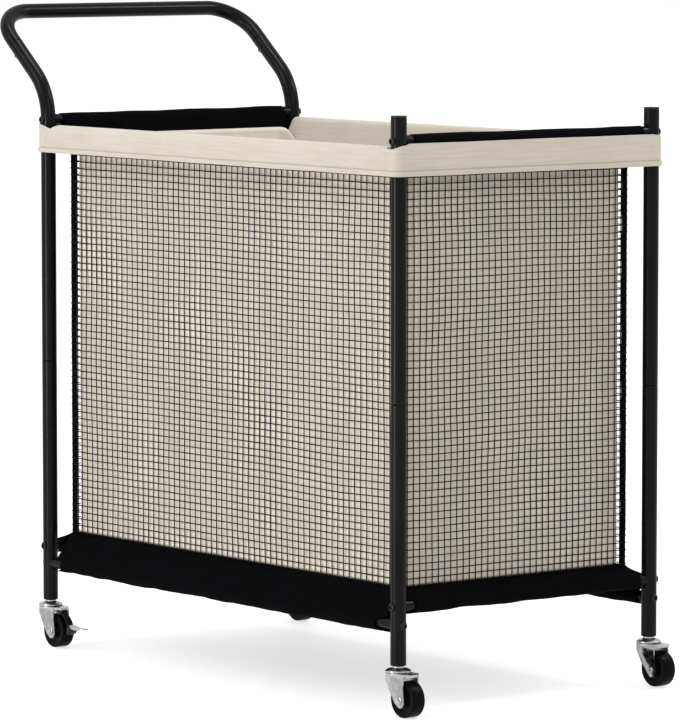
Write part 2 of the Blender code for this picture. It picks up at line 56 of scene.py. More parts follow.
POST_AT = {corner: middle("lower_post_" + corner) for corner in CORNERS}
X_FRONT = POST_AT["front_left"].x
X_REAR = POST_AT["rear_left"].x
Y_POST = POST_AT["front_left"].y
X_MID = (X_FRONT + X_REAR) / 2
LONG = X_FRONT - X_REAR
POST_R = (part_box("lower_post_front_left")[1][0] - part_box("lower_post_front_left")[0][0]) / 2
Z_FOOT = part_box("lower_post_front_left")[0][2]
Z_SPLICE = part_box("lower_post_front_left")[1][2]
Z_FRONT_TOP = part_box("post_cap_front_left")[1][2]
CAP_THICK = 0.002
RAIL_R = (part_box("top_rail_left")[1][2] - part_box("top_rail_left")[0][2]) / 2
SIDE_RAIL_Z = (middle("bottom_rail_left").z, middle("top_rail_left").z)
END_RAIL_Z = (middle("bottom_rail_front").z, middle("top_rail_front").z)

BEND_START_Z = 0.781
BEND_R = 0.087
BEND_TURN = math.radians(50.7)
BAR_REACH = 0.1407
CORNER_R = 0.060
LEG_STRAIGHT = 0.065

TRAIL = 0.021
WHEEL_R = 0.025
WHEEL_HALF = 0.0105
Z_FORK_TOP = 0.060

NET_INSET = 0.0236
TAPE_FACE = 0.0230
LINER_INSET = 0.0262
LINER_CORNER = 0.0225
CLOTH = 0.0009
SLEEVE_R = 0.0098
ROLL_R = 0.0132
Z_NET = (0.168, 0.7365)
CUFF_SEAM = 0.0123
Z_CUFF_LOW = 0.734
Z_CUFF_SHORT = 0.778
Z_HEM = 0.760


# ---------------------------------------------------------------- materials


class Nodes:
    """A Principled material and a short way to add and link its nodes."""

    def __init__(self, name, colour, roughness, metallic=0.0, **inputs):
        self.material = bpy.data.materials.new(name)
        self.material.use_nodes = True
        self.tree = self.material.node_tree
        self.shader = self.tree.nodes["Principled BSDF"]
        self.set(self.shader, "Base Color", (*colour, 1.0))
        self.set(self.shader, "Roughness", roughness)
        self.set(self.shader, "Metallic", metallic)
        for socket, value in inputs.items():
            self.set(self.shader, socket.replace("_", " "), value)

    def set(self, node, socket, value):
        """Puts a number or colour on a socket, or links another node's output to it."""
        if isinstance(value, bpy.types.NodeSocket):
            self.tree.links.new(value, node.inputs[socket])
        else:
            node.inputs[socket].default_value = value

    def add(self, kind, outputs=0, properties=None, **inputs):
        node = self.tree.nodes.new("ShaderNode" + kind)
        for name, value in (properties or {}).items():
            setattr(node, name, value)
        for socket, value in inputs.items():
            key = int(socket[1:]) if socket[0] == "i" and socket[1:].isdigit() else socket.replace("_", " ")
            self.set(node, key, value)
        return node.outputs[outputs]

    def math(self, operation, a, b=0.0, clamp=False):
        return self.add("Math", properties={"operation": operation, "use_clamp": clamp}, i0=a, i1=b)

    def ramp(self, value, *stops):
        """A colour ramp from (place, grey or colour) stops."""
        out = self.add("ValToRGB", Fac=value)
        ramp = out.node.color_ramp
        while len(ramp.elements) < len(stops):
            ramp.elements.new(0.5)
        for element, (place, colour) in zip(ramp.elements, stops):
            element.position = place
            element.color = (*colour, 1.0) if isinstance(colour, tuple) else (colour, colour, colour, 1.0)
        return out

    def mix(self, factor, a, b, blend="MIX"):
        node = self.tree.nodes.new("ShaderNodeMix")
        node.data_type = "RGBA"
        node.blend_type = blend
        self.set(node, 0, factor)
        self.set(node, 6, a)
        self.set(node, 7, b)
        return node.outputs[2]

    def noise(self, place, scale, detail=3.0, stretch=(1, 1, 1)):
        vector = self.add("Mapping", Vector=place, Scale=stretch)
        return self.add("TexNoise", Vector=vector, Scale=scale, Detail=detail)

    def spread(self, value, low, high, first, last):
        """Carries the range from low to high over to the range from first to last."""
        return self.add("MapRange", Value=value, i1=low, i2=high, i3=first, i4=last)

    def bump(self, height, strength, distance):
        normal = self.add("Bump", Height=height, Strength=strength, Distance=distance)
        self.set(self.shader, "Normal", normal)
        return normal


def weave(nodes, place, threads):
    """The height of a plain weave over a flat coordinate in metres, with so many threads a metre each way."""
    parts = nodes.add("SeparateXYZ", Vector=place)
    across = nodes.math("MULTIPLY", parts, threads * math.pi)
    along = nodes.math("MULTIPLY", parts.node.outputs[1], threads * math.pi)
    warp = nodes.math("ABSOLUTE", nodes.math("SINE", across))
    weft = nodes.math("ABSOLUTE", nodes.math("SINE", along))
    half = nodes.math("MULTIPLY", nodes.math("SINE", across), nodes.math("SINE", along))
    over = nodes.math("GREATER_THAN", half, 0.0)
    return nodes.add("Mix", properties={"data_type": "FLOAT"}, i0=over, i2=warp, i3=weft)


def cloth_material(name, colour, dark, threads, bump, sheen, gloss=0.2, roughness=0.9):
    """A plain-woven cloth: threads from the weave with painted shade in its hollows, uneven yarns in streaks,
    and a soft sheen.
    """
    nodes = Nodes(name, colour, roughness, Sheen_Weight=sheen, Sheen_Roughness=0.5, Specular_IOR_Level=gloss)
    place = nodes.add("UVMap", properties={"uv_map": "cloth"})
    height = weave(nodes, place, threads)
    streaks = nodes.noise(place, 260.0, 2.0, (0.06, 1.0, 1.0))
    slubs = nodes.noise(place, 200.0, 2.0, (1.0, 0.05, 1.0))
    clouds = nodes.noise(place, 9.0, 3.0)
    yarns = nodes.math("ADD", nodes.math("MULTIPLY", streaks, 0.82), nodes.math("MULTIPLY", slubs, 0.18))
    shade = nodes.ramp(yarns, (0.36, dark), (0.62, colour))
    shade = nodes.mix(0.35, shade, nodes.ramp(clouds, (0.3, 0.86), (0.7, 1.0)), "MULTIPLY")
    # Painted shade: the colour darkens where the weave is low, in the hollows between the threads.
    shade = nodes.mix(0.22, shade, nodes.ramp(height, (0.0, 0.55), (0.7, 1.0)), "MULTIPLY")
    nodes.set(nodes.shader, "Base Color", shade)
    relief = nodes.math("ADD", nodes.math("MULTIPLY", height, 0.7), nodes.math("MULTIPLY", yarns, 0.9))
    nodes.bump(relief, bump, 0.0004)
    return nodes.material


def powder_coat():
    """Black satin powder coat with a fine orange peel and lighter, rubbed patches."""
    nodes = Nodes("powder_coat_look", (0.003, 0.003, 0.0032), 0.3, 0.0, Specular_IOR_Level=0.09)
    place = nodes.add("TexCoord", outputs=3)
    peel = nodes.noise(place, 900.0, 2.0)
    rubbed = nodes.noise(place, 14.0, 4.0)
    shade = nodes.ramp(rubbed, (0.4, (0.0024, 0.0024, 0.0026)), (0.75, (0.004, 0.004, 0.0043)))
    nodes.set(nodes.shader, "Base Color", shade)
    nodes.set(nodes.shader, "Roughness", nodes.spread(rubbed, 0.3, 0.8, 0.24, 0.32))
    nodes.bump(peel, 0.12, 0.0002)
    return nodes.material


def zinc():
    """Bright zinc plate: fine drawn lines and cloudy passivation."""
    nodes = Nodes("zinc_look", (0.74, 0.75, 0.77), 0.2, 1.0)
    place = nodes.add("TexCoord", outputs=3)
    clouds = nodes.noise(place, 120.0, 4.0)
    drawn = nodes.noise(place, 700.0, 2.0, (1.0, 1.0, 0.08))
    shade = nodes.ramp(clouds, (0.3, (0.33, 0.33, 0.337)), (0.7, (0.45, 0.455, 0.465)))
    nodes.set(nodes.shader, "Base Color", shade)
    nodes.set(nodes.shader, "Roughness", nodes.spread(clouds, 0.25, 0.75, 0.14, 0.33))
    nodes.bump(drawn, 0.08, 0.0001)
    return nodes.material


def moulded(name, colour, roughness, grain, strength=0.15, gloss=0.25):
    """Moulded plastic or rubber with a fine grain and slightly uneven gloss."""
    nodes = Nodes(name, colour, roughness, Specular_IOR_Level=gloss)
    place = nodes.add("TexCoord", outputs=3)
    clouds = nodes.noise(place, 60.0, 4.0)
    pale = tuple(1.7 * c for c in colour)
    nodes.set(nodes.shader, "Base Color", nodes.ramp(clouds, (0.35, colour), (0.8, pale)))
    nodes.set(nodes.shader, "Roughness", nodes.spread(clouds, 0.3, 0.7, roughness - 0.06, roughness + 0.08))
    nodes.bump(nodes.noise(place, grain, 2.0), strength, 0.0002)
    return nodes.material


def blackened():
    """Blackened steel bolts with an uneven gloss."""
    nodes = Nodes("blackened_look", (0.004, 0.004, 0.0045), 0.3, 0.0, Specular_IOR_Level=0.2)
    place = nodes.add("TexCoord", outputs=3)
    clouds = nodes.noise(place, 300.0, 3.0)
    nodes.set(nodes.shader, "Roughness", nodes.spread(clouds, 0.3, 0.7, 0.22, 0.42))
    nodes.bump(nodes.noise(place, 1500.0, 2.0), 0.1, 0.0001)
    return nodes.material


PAINT = powder_coat()
ZINC = zinc()
BOLT = blackened()
PLASTIC = moulded("cap_plastic_look", (0.005, 0.005, 0.0055), 0.45, 1200.0)
TYRE = moulded("wheel_look", (0.0015, 0.0015, 0.0017), 0.34, 900.0, 0.1, 0.04)
BEIGE = cloth_material("beige_cloth_look", (0.436, 0.401, 0.344), (0.402, 0.366, 0.307), 900.0, 0.35, 0.15)
# Painted light: the liner's walls get a lighter copy of the beige cloth, brightened to offset the shade the
# net casts on them.
PAINTED_LIGHT_WALL_BEIGE = ((0.615, 0.570, 0.487), (0.566, 0.518, 0.434))
PAINTED_LIGHT_WALL_CLOTH = cloth_material("liner_wall_painted_light_look", *PAINTED_LIGHT_WALL_BEIGE, 900.0, 0.35, 0.15)
YARN = ((0.0016, 0.0016, 0.0024), (0.0008, 0.0008, 0.0011))
BLACK = cloth_material("black_cloth_look", *YARN, 1100.0, 0.4, 0.0, 0.03)
BINDING = cloth_material("black_tape_look", *YARN, 1400.0, 0.5, 0.0, 0.03)
CORD = moulded("net_cord_look", (0.002, 0.002, 0.0025), 0.6, 3000.0, 0.3, 0.08)


# ---------------------------------------------------------------- mesh tools


def new_piece(name, mesh, material, body="root", slot=None, stands_for=()):
    obj = bpy.data.objects.new(name, mesh)
    bpy.context.scene.collection.objects.link(obj)
    mesh.materials.append(material)
    obj["rides"] = body
    if slot:
        obj["slot"] = slot
    obj["stands_for"] = list(stands_for)
    return obj


def hand_over(obj):
    """Ties a finished piece to its body and the CAD nodes it stands for."""
    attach(obj, obj["rides"])
    if len(obj["stands_for"]):
        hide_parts(*obj["stands_for"])
    return obj


def piece(name, mesh, material, body, slot, stands_for=()):
    return hand_over(new_piece(name, mesh, material, body, slot, stands_for))


def smooth(mesh, degrees=35):
    mesh.shade_smooth()
    mesh.set_sharp_from_angle(angle=math.radians(degrees))
    return mesh


def applied(obj):
    """The object's mesh with its modifiers applied."""
    bpy.context.view_layer.update()
    graph = bpy.context.evaluated_depsgraph_get()
    mesh = bpy.data.meshes.new_from_object(obj.evaluated_get(graph))
    obj.modifiers.clear()
    obj.data = mesh
    return obj


def turned(rings, sides=48, matrix=None):
    """A turned mesh about Z from (radius, height) rings listed down the outside. A ring of radius 0 is
    a pole, and a ring given as (radius, height, "hex") is a hexagon across its corners."""
    shape = bmesh.new()
    made = []
    for ring in rings:
        radius, height = ring[:2]
        if radius < 1e-7:
            made.append([shape.verts.new((0, 0, height))])
            continue
        verts = []
        for i in range(sides):
            angle = 2 * math.pi * i / sides
            reach = radius
            if len(ring) > 2:
                flat = math.cos((angle + math.pi / 6) % (math.pi / 3) - math.pi / 6)
                reach = radius * math.cos(math.pi / 6) / flat
            verts.append(shape.verts.new((reach * math.cos(angle), reach * math.sin(angle), height)))
        made.append(verts)
    closed = rings[0] == rings[-1]
    if closed:
        for vert in made[-1]:
            shape.verts.remove(vert)
        made[-1] = made[0]
    for upper, lower in zip(made, made[1:]):
        for i in range(sides):
            j = (i + 1) % sides
            if len(upper) == 1:
                shape.faces.new((upper[0], lower[i], lower[j]))
            elif len(lower) == 1:
                shape.faces.new((upper[j], upper[i], lower[0]))
            else:
                shape.faces.new((upper[j], upper[i], lower[i], lower[j]))
    bmesh.ops.recalc_face_normals(shape, faces=shape.faces)
    mesh = bpy.data.meshes.new("turned")
    shape.to_mesh(mesh)
    shape.free()
    if matrix is not None:
        mesh.transform(matrix)
    return smooth(mesh)


def rod_rings(radius, half):
    """Rings of a plain rod, for a cutter or a pin."""
    return [(0, half), (radius, half), (radius, -half), (0, -half)]


def swept(paths, radii, sides=24):
    """Round rods along lists of points, all in one mesh. radii is one radius, or one for each point."""
    verts, faces = [], []
    ring = [(math.cos(2 * math.pi * i / sides), math.sin(2 * math.pi * i / sides)) for i in range(sides)]
    for path in paths:
        points = np.array(path, float)
        tangents = np.gradient(points, axis=0)
        tangents /= np.linalg.norm(tangents, axis=1)[:, None]
        side = np.cross(tangents[0], (0.0, 0.0, 1.0))
        if np.linalg.norm(side) < 1e-3:
            side = np.cross(tangents[0], (1.0, 0.0, 0.0))
        side /= np.linalg.norm(side)
        base = len(verts)
        size = np.full(len(points), radii) if np.isscalar(radii) else np.array(radii)
        for point, tangent, radius in zip(points, tangents, size):
            side = side - tangent * np.dot(side, tangent)
            side /= np.linalg.norm(side)
            up = np.cross(side, tangent)
            verts += [tuple(point + radius * (c * side + s * up)) for c, s in ring]
        for k in range(len(points) - 1):
            for i in range(sides):
                j = (i + 1) % sides
                a, b = base + k * sides, base + (k + 1) * sides
                faces.append((a + i, a + j, b + j, b + i))
        faces.append(tuple(base + i for i in reversed(range(sides))))
        last = base + (len(points) - 1) * sides
        faces.append(tuple(last + i for i in range(sides)))
    mesh = bpy.data.meshes.new("swept")
    mesh.from_pydata(verts, [], faces)
    shape = bmesh.new()
    shape.from_mesh(mesh)
    bmesh.ops.recalc_face_normals(shape, faces=shape.faces)
    shape.to_mesh(mesh)
    shape.free()
    return smooth(mesh, 30)


def cloth_mesh(points, flat, closed=False):
    """A grid of cloth. points is (columns, rows, 3), and flat is (columns, rows, 2) in the cut cloth."""
    columns, rows = points.shape[:2]
    verts = points.reshape(-1, 3)
    faces, places = [], []
    span = columns if closed else columns - 1
    for i in range(span):
        j = (i + 1) % columns
        for k in range(rows - 1):
            faces.append((i * rows + k, j * rows + k, j * rows + k + 1, i * rows + k + 1))
            right = flat[j] if j else flat[0] + (flat[-1, 0, 0] + (flat[1, 0, 0] - flat[0, 0, 0]), 0)
            places += [flat[i, k], right[k], right[k + 1], flat[i, k + 1]]
    mesh = bpy.data.meshes.new("cloth")
    mesh.from_pydata([tuple(v) for v in verts], [], faces)
    layer = mesh.uv_layers.new(name="cloth")
    layer.data.foreach_set("uv", np.array(places, np.float32).ravel())
    mesh.shade_smooth()
    return mesh


def thicken(obj, thickness):
    shell = obj.modifiers.new("Cloth", "SOLIDIFY")
    shell.thickness = thickness
    shell.offset = 0
    return applied(obj)


def cloth_piece(name, grid, flat, material, slot, replaced=(), closed=False, thickness=CLOTH):
    """A grid of cloth made into a finished piece of a given thickness."""
    mesh = cloth_mesh(np.array(grid), np.array(flat), closed)
    obj = new_piece(name, mesh, material, "root", slot, replaced)
    return hand_over(thicken(obj, thickness))


def wobble(x, y, z, scale, seed):
    return noise.noise(Vector((x * scale + seed, y * scale, z * scale)))


def ease(value):
    value = min(1.0, max(0.0, value))
    return value * value * (3 - 2 * value)


def arc_points(centre, radius, start, end, steps):
    """Points along an arc in a plane, angles in degrees."""
    angles = [math.radians(start + (end - start) * i / steps) for i in range(steps + 1)]
    return [(centre[0] + radius * math.cos(a), centre[1] + radius * math.sin(a)) for a in angles]


# ---------------------------------------------------------------- frame tubes


def straight_tube(name, x, y, low, high, nodes_replaced):
    radius, edge = POST_R, 0.0006
    rings = [(0, high), (radius - edge * 2, high), (radius - edge * 0.3, high - edge * 0.4)]
    hold = 0.0015
    rings += [(radius, high - edge), (radius, high - edge - hold), (radius, low + edge + hold)]
    rings += [(radius, low + edge), (radius - edge * 0.3, low + edge * 0.4)]
    rings += [(radius - edge * 2, low), (0, low)]
    mesh = turned(rings, 64, Matrix.Translation((x, y, 0)))
    return piece(name, mesh, PAINT, "root", "black_steel", nodes_replaced)


def bend_point(turn):
    """(x offset, height) in the handle leg's bend, at an angle from upright."""
    return -BEND_R * (1 - math.cos(turn)), BEND_START_Z + BEND_R * math.sin(turn)


def leg_point(along):
    """(x offset, height) at a distance along the handle leg's straight, past its bend."""
    start = bend_point(BEND_TURN)
    return start[0] - along * math.sin(BEND_TURN), start[1] + along * math.cos(BEND_TURN)


def softened(path, radius, edge=0.0006):
    """Radii for a path with a point just inside each end, so that its ends are slightly rounded."""
    return [radius - edge] + [radius] * (len(path) - 2) + [radius - edge]


def posts():
    seam = 0.0003
    for corner in CORNERS:
        at = POST_AT[corner]
        straight_tube("post_lower_" + corner, at.x, at.y, Z_FOOT, Z_SPLICE, ["lower_post_" + corner])
        if corner.startswith("front"):
            top = Z_FRONT_TOP - CAP_THICK - 0.0002
            straight_tube("post_upper_" + corner, at.x, at.y, Z_SPLICE + seam, top, ["upper_post_" + corner])
            edge = 0.0004
            rings = [(0, Z_FRONT_TOP), (POST_R - 2 * edge, Z_FRONT_TOP)]
            rings += [(POST_R - edge * 0.3, Z_FRONT_TOP - edge * 0.6), (POST_R, Z_FRONT_TOP - 1.5 * edge)]
            rings += [(POST_R, top + 0.0003), (POST_R - edge, top), (0, top)]
            mesh = turned(rings, 64, Matrix.Translation((at.x, at.y, 0)))
            piece("cap_" + corner, mesh, PLASTIC, "root", "black_plastic", ["post_cap_" + corner])


def handle():
    edge, hold = 0.0006, 0.0015
    for side, y in (("left", Y_POST), ("right", -Y_POST)):
        low = Z_SPLICE + 0.0003
        path = [(0, low), (0, low + edge), (0, low + edge + hold), (0, 0.6), (0, BEND_START_Z)]
        path += [bend_point(BEND_TURN * i / 24) for i in range(1, 25)]
        path += [leg_point(LEG_STRAIGHT - 0.0003 - back) for back in (edge + hold, edge, 0.0)]
        points = [(X_REAR + x, y, z) for x, z in path]
        mesh = swept([points], softened(points, POST_R), 48)
        piece("leg_" + side, mesh, PAINT, "root", "black_steel", ["handle_leg_" + side])
    bend_start = BAR_REACH - CORNER_R
    half = [(Y_POST, LEG_STRAIGHT + on) for on in (0.0, edge, edge + hold)] + [(Y_POST, bend_start)]
    steps = 28
    for i in range(1, steps + 1):
        angle = math.pi / 2 * i / steps
        half.append((Y_POST - CORNER_R * (1 - math.cos(angle)), bend_start + CORNER_R * math.sin(angle)))
    half.append((0.07, BAR_REACH))
    route = half + [(-y, along) for y, along in reversed(half)]
    points = [(X_REAR + leg_point(along)[0], y, leg_point(along)[1]) for y, along in route]
    mesh = swept([points], softened(points, POST_R), 48)
    piece("push_bar", mesh, PAINT, "root", "black_steel", ["handle_bar"])


def rails():
    """Rails end on the posts. Each end is shaped to the post by a round cutter."""
    spans = []
    for level, z in zip(("bottom", "top"), SIDE_RAIL_Z):
        for side, y in (("left", Y_POST), ("right", -Y_POST)):
            spans.append((f"{level}_rail_{side}", Vector((X_REAR, y, z)), Vector((X_FRONT, y, z))))
    for level, z in zip(("bottom", "top"), END_RAIL_Z):
        for end, x in (("front", X_FRONT), ("rear", X_REAR)):
            spans.append((f"{level}_rail_{end}", Vector((x, -Y_POST, z)), Vector((x, Y_POST, z))))
    for node, start, end in spans:
        along = (end - start).normalized()
        inset = POST_R * 0.6
        mesh = swept([[start + along * inset, (start + end) / 2, end - along * inset]], RAIL_R, 40)
        obj = new_piece(node.replace("_rail_", "_bar_"), mesh, PAINT, "root", "black_steel", [node])
        for at in (start, end):
            cutter = bpy.data.objects.new("seat", turned(rod_rings(POST_R + 0.0002, 0.03), 48))
            bpy.context.scene.collection.objects.link(cutter)
            cutter.location = at
            cut = obj.modifiers.new("Seat", "BOOLEAN")
            cut.operation = "DIFFERENCE"
            cut.object = cutter
            applied(obj)
            bpy.data.objects.remove(cutter)
        smooth(obj.data, 40)
        hand_over(obj)


# ---------------------------------------------------------------- bolts


def button_head(radius, tall):
    """Rings of a button head with a hexagon socket, its underside at height 0."""
    angles = [math.radians(degrees) for degrees in range(62, -1, -12)]
    dome = [(radius * math.cos(a), tall * (0.25 + 0.75 * math.sin(a))) for a in angles]
    key = radius * 0.48
    rings = [(0, tall * 0.35), (key * 0.98, tall * 0.4, "hex"), (key, tall * 0.97, "hex")]
    rings += [(radius * 0.56, tall * 1.0), *dome, (radius, tall * 0.1), (radius * 0.96, 0), (0, 0)]
    return rings


def facing(at, out):
    """The place of a bolt head: at a point, with its Z axis turned outward."""
    return Matrix.Translation(at) @ out.to_track_quat("Z", "Y").to_matrix().to_4x4()


def bolts():
    names = [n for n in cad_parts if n.startswith(("side_bolt", "end_bolt"))]
    seat = POST_R + 0.0001
    for node in sorted(names):
        corner = next(c for c in CORNERS if node.endswith(c))
        at = POST_AT[corner]
        along_x = node.startswith("side_bolt")
        out = Vector((1 if at.x > X_MID else -1, 0, 0)) if along_x else Vector((0, 1 if at.y > 0 else -1, 0))
        levels = SIDE_RAIL_Z if along_x else END_RAIL_Z
        z = levels[1 if "_top_" in node else 0]
        low_head = along_x and "_top_" in node
        radius, tall = (0.004, 0.0012) if low_head else (0.00575, 0.0035)
        head = turned(button_head(radius, tall), 48, facing(Vector((at.x, at.y, z)) + out * seat, out))
        piece(node.replace("bolt", "fixing"), head, BOLT, "root", "black_bolt", [node])
    for side, y in (("left", Y_POST), ("right", -Y_POST)):
        x, z = leg_point(LEG_STRAIGHT - 0.012)
        out = Vector((-math.cos(BEND_TURN), 0, -math.sin(BEND_TURN)))
        place = facing(Vector((X_REAR + x, y, z)) + out * seat, out)
        head = turned(button_head(0.0046, 0.0032), 48, place)
        piece("grip_screw_" + side, head, BOLT, "root", "black_bolt", ["handle_screw_" + side])


# ---------------------------------------------------------------- castors


def mesh_box(low, high):
    shape = bmesh.new()
    size = Vector(high) - Vector(low)
    centre = Matrix.Translation((Vector(high) + Vector(low)) / 2)
    bmesh.ops.create_cube(shape, size=1, matrix=centre @ Matrix.Diagonal((*size, 1)))
    mesh = bpy.data.meshes.new("box")
    shape.to_mesh(mesh)
    shape.free()
    return mesh


def outline_mesh(outline, half, across="y"):
    """A flat outline in XZ, or in XY, made a plate of twice the half thickness about its plane."""
    shape = bmesh.new()
    place = (lambda a, b, c: (a, c, b)) if across == "y" else (lambda a, b, c: (a, b, c))
    first = [shape.verts.new(place(a, b, -half)) for a, b in outline]
    second = [shape.verts.new(place(a, b, half)) for a, b in outline]
    shape.faces.new(first)
    shape.faces.new(list(reversed(second)))
    for i in range(len(outline)):
        j = (i + 1) % len(outline)
        shape.faces.new((first[j], first[i], second[i], second[j]))
    bmesh.ops.recalc_face_normals(shape, faces=shape.faces)
    mesh = bpy.data.meshes.new("plate")
    shape.to_mesh(mesh)
    shape.free()
    return mesh


def loose(mesh):
    obj = bpy.data.objects.new("loose", mesh)
    bpy.context.scene.collection.objects.link(obj)
    return obj


def boolean(obj, meshes, operation):
    for mesh in meshes:
        other = loose(mesh)
        cut = obj.modifiers.new(operation, "BOOLEAN")
        cut.operation = operation
        cut.object = other
        applied(obj)
        bpy.data.objects.remove(other)
    return obj


def rounded(obj, width, degrees):
    """Rounds the edges that are sharper than an angle."""
    rounding = obj.modifiers.new("Edges", "BEVEL")
    rounding.width = width
    rounding.segments = 2
    rounding.limit_method = "ANGLE"
    rounding.angle_limit = math.radians(degrees)
    return applied(obj)


def plan_mesh(radius, half, top=0.1):
    """An upright prism: round towards -X, with flat sides towards +X."""
    start = math.degrees(math.asin(half / radius))
    outline = arc_points((0, 0), radius, 180 - start, 180 + start, 24) + [(0.06, -half), (0.06, half)]
    mesh = outline_mesh(outline, top / 2, "z")
    mesh.transform(Matrix.Translation((0, 0, top / 2)))
    return mesh


def fork_mesh(braked):
    """The stamped fork about its swivel axis, trailing towards +X."""
    sheet, half = 0.0022, 0.0142
    under = Z_FORK_TOP - sheet
    cheek = [(-0.0180, Z_FORK_TOP), (-0.0180, 0.0548), (-0.0135, 0.0520)]
    cheek += [(-0.0080, 0.0462), (-0.0036, 0.0389)]
    cheek += [(0.0015, 0.0311), (0.0069, 0.0233), (0.0100, 0.0190)]
    cheek += arc_points((0.0207, 0.0229), 0.0092, 215, 350, 16)
    cheek += [(0.0288, 0.0300), (0.0270, 0.0420), (0.0265, Z_FORK_TOP)]
    roof = 0.0033
    fork = loose(outline_mesh(cheek, half))
    boolean(fork, [plan_mesh(0.0175, half)], "INTERSECT")
    boolean(fork, [plan_mesh(0.0175 - sheet, 0.0122, Z_FORK_TOP - roof)], "DIFFERENCE")
    tongue = [(0.0150, 0.0142), (0.0262, 0.0142), (0.0335, 0.0092), (0.0360, 0.0068), (0.0368, 0.0040)]
    flat = outline_mesh(tongue + [(x, -y) for x, y in reversed(tongue)], roof / 2, "z")
    flat.transform(Matrix.Translation((0, 0, Z_FORK_TOP - roof / 2)))
    boolean(fork, [flat], "UNION")
    pocket = arc_points((0, 0), 0.0152, 128, 232, 16)
    pocket_side = [(0.0256, 0.0119), (0.0322, 0.0076), (0.0346, 0.0055)]
    pocket += [(x, -y) for x, y in pocket_side] + pocket_side[::-1]
    hollow = outline_mesh(pocket, (under - 0.05) / 2, "z")
    hollow.transform(Matrix.Translation((0, 0, (under + 0.05) / 2)))
    boolean(fork, [hollow], "DIFFERENCE")
    plate_edge = [(0, Z_FORK_TOP + 0.0001), (0.0168, Z_FORK_TOP + 0.0001)]
    plate_edge += [(0.0176, Z_FORK_TOP - 0.0006), (0.0176, under)]
    plate = turned(plate_edge + [(0, under)], 64)
    boss = [(0, Z_FORK_TOP + 0.0008), (0.0022, Z_FORK_TOP + 0.0007)]
    boss += [(0.0038, Z_FORK_TOP), (0.0038, under), (0, under)]
    dimple = turned(boss, 32, Matrix.Translation((0.0268, 0, 0)))
    parts = [plate, dimple]
    if braked:
        lug_top = under + 0.0005
        parts += [mesh_box((0.0276, y, 0.0505), (0.0343, y + 0.0019, lug_top)) for y in (-0.0071, 0.0052)]
    boolean(fork, parts, "UNION")
    bore = turned([(0, 0.08), (0.0055, 0.08), (0.0055, 0.04), (0, 0.04)], 32)
    boolean(fork, [bore], "DIFFERENCE")
    rounded(fork, 0.00045, 40)
    mesh = smooth(fork.data, 30)
    bpy.data.objects.remove(fork)
    return mesh


def stem_mesh():
    rim = Z_FORK_TOP + 0.0003
    rings = [(0, Z_FOOT - 0.0004), (0.0080, Z_FOOT - 0.0004), (0.0084, Z_FOOT - 0.0008)]
    rings += [(0.0084, 0.0668), (0.0090, 0.0661)]
    rings += [(0.0108, 0.0657), (0.0140, 0.0649), (0.0163, 0.0637), (0.0174, 0.0629), (0.0180, 0.0624)]
    rings += [(0.0181, 0.0617), (0.0180, rim + 0.0003), (0.0176, rim), (0.0050, rim)]
    below = [(0.0050, 0.0025), (0.0076, 0.0025), (0.0080, 0.0032), (0.0062, 0.0050), (0, 0.0052)]
    rings += [(radius, Z_FORK_TOP - drop) for radius, drop in below]
    return turned(rings, 64)


def axle_mesh():
    """A tubular rivet, with its rolled heads outside the fork's cheeks."""
    end = 0.0142
    half = [(0, end - 0.0010), (0.0016, end - 0.0010), (0.0019, end + 0.0011), (0.0026, end + 0.0016)]
    half += [(0.0036, end + 0.0012)]
    half += [(0.0044, end + 0.0003), (0.0030, end + 0.0001)]
    rings = half + [(radius, -height) for radius, height in reversed(half)]
    return turned(rings, 40, Matrix.Rotation(math.pi / 2, 4, "X"))


def wheel_mesh():
    """A moulded wheel: tread corners, a groove at the rim, a dished web and a hub."""
    half, outer = WHEEL_HALF, WHEEL_R
    tread = [(0.0, 0.0022), (0.0002, 0.0010), (0.0006, 0.0004), (0.0012, 0.0), (0.0019, 0.0)]
    tread += [(0.0023, 0.0005), (0.0027, 0.0006), (0.0060, 0.0008)]
    side = [(outer - in_by, half - down) for in_by, down in tread]
    side += [(0.0170, half - 0.0012), (0.0160, half - 0.0024), (0.0095, half - 0.0028)]
    side += [(0.0085, half - 0.0005), (0.0075, half), (0.0034, half)]
    rings = side[::-1] + [(radius, -height) for radius, height in side]
    rings.append(rings[0])
    return turned(rings, 96, Matrix.Rotation(math.pi / 2, 4, "X"))


